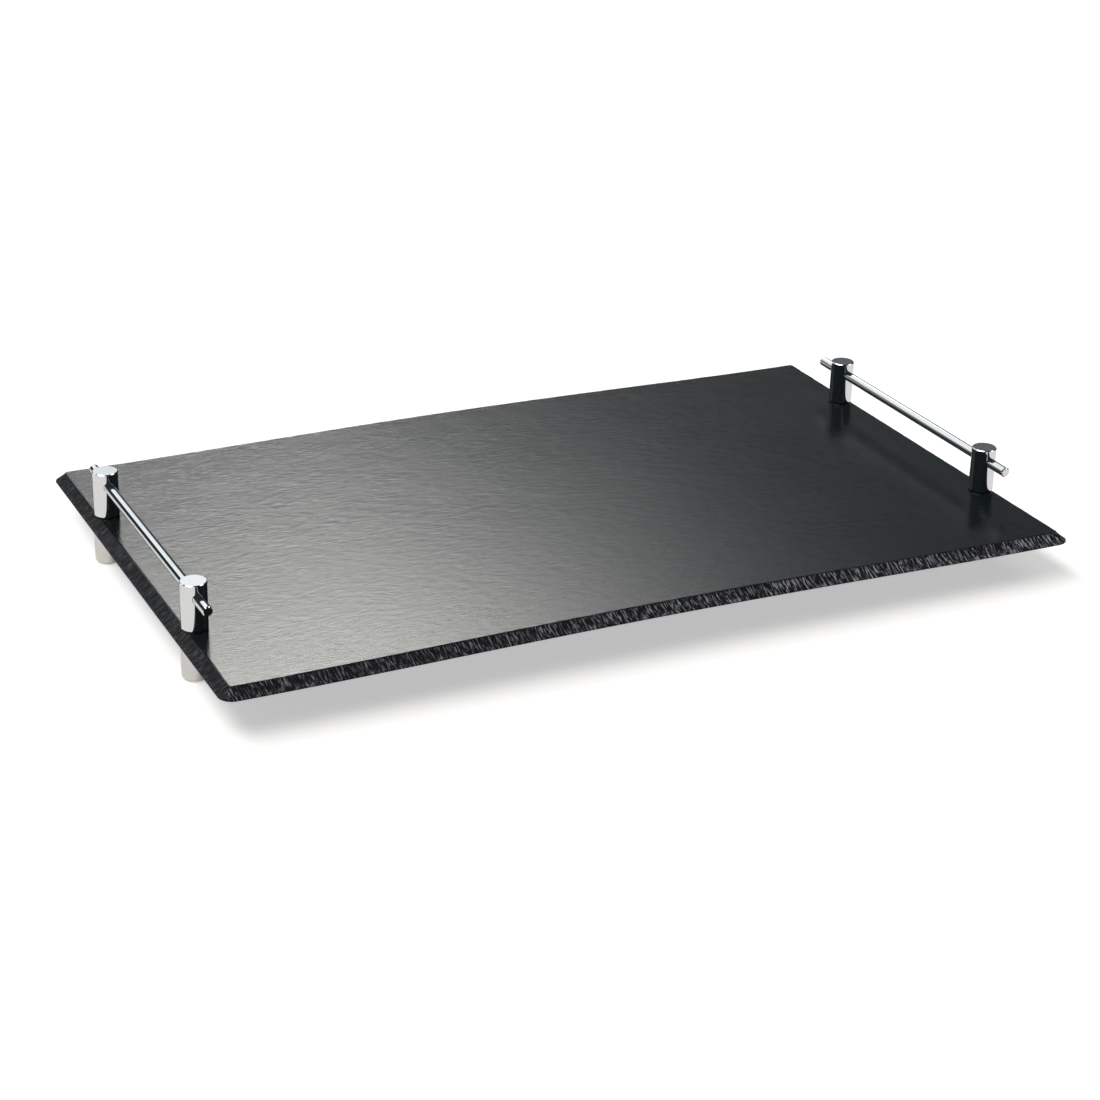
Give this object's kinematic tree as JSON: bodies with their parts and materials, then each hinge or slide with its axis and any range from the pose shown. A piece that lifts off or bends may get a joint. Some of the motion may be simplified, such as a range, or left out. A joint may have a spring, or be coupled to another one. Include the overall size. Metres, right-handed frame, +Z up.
{
  "type": "serving tray",
  "caption": "Slate look melamine serving tray on chrome feet, with a chrome rail handle held by posts along each short end.",
  "frame": {"origin": "middle of the tray's footprint, on the surface that the tray stands on", "axes": "+X along the board's long side towards the right handle, +Y towards the rear long edge, +Z up"},
  "size_m": [0.53, 0.325, 0.0575],
  "materials": {
    "board": "black melamine with a riven slate texture and a satin sheen",
    "post": "polished chrome plate",
    "rail": "polished chrome plate",
    "foot": "satin chrome plate",
    "foot_pad": "moulded rubber, finely ribbed",
    "gasket": "smooth black rubber washer",
    "screw": "zinc plated steel"
  },
  "bodies": {
    "root": {"board": "board", "front_left_post": "post", "front_right_post": "post", "rear_left_post": "post", "rear_right_post": "post", "front_left_foot": "foot", "front_right_foot": "foot", "rear_left_foot": "foot", "rear_right_foot": "foot", "front_left_foot_pad": "foot_pad", "front_right_foot_pad": "foot_pad", "rear_left_foot_pad": "foot_pad", "rear_right_foot_pad": "foot_pad", "front_left_post_gasket": "gasket", "front_right_post_gasket": "gasket", "rear_left_post_gasket": "gasket", "rear_right_post_gasket": "gasket", "front_left_foot_gasket": "gasket", "front_right_foot_gasket": "gasket", "rear_left_foot_gasket": "gasket", "rear_right_foot_gasket": "gasket", "front_left_foot_screw": "screw", "front_right_foot_screw": "screw", "rear_left_foot_screw": "screw", "rear_right_foot_screw": "screw", "front_left_grub_screw": "screw", "front_right_grub_screw": "screw", "rear_left_grub_screw": "screw", "rear_right_grub_screw": "screw", "left_rail": "rail", "right_rail": "rail"}
  },
  "joints": []
}
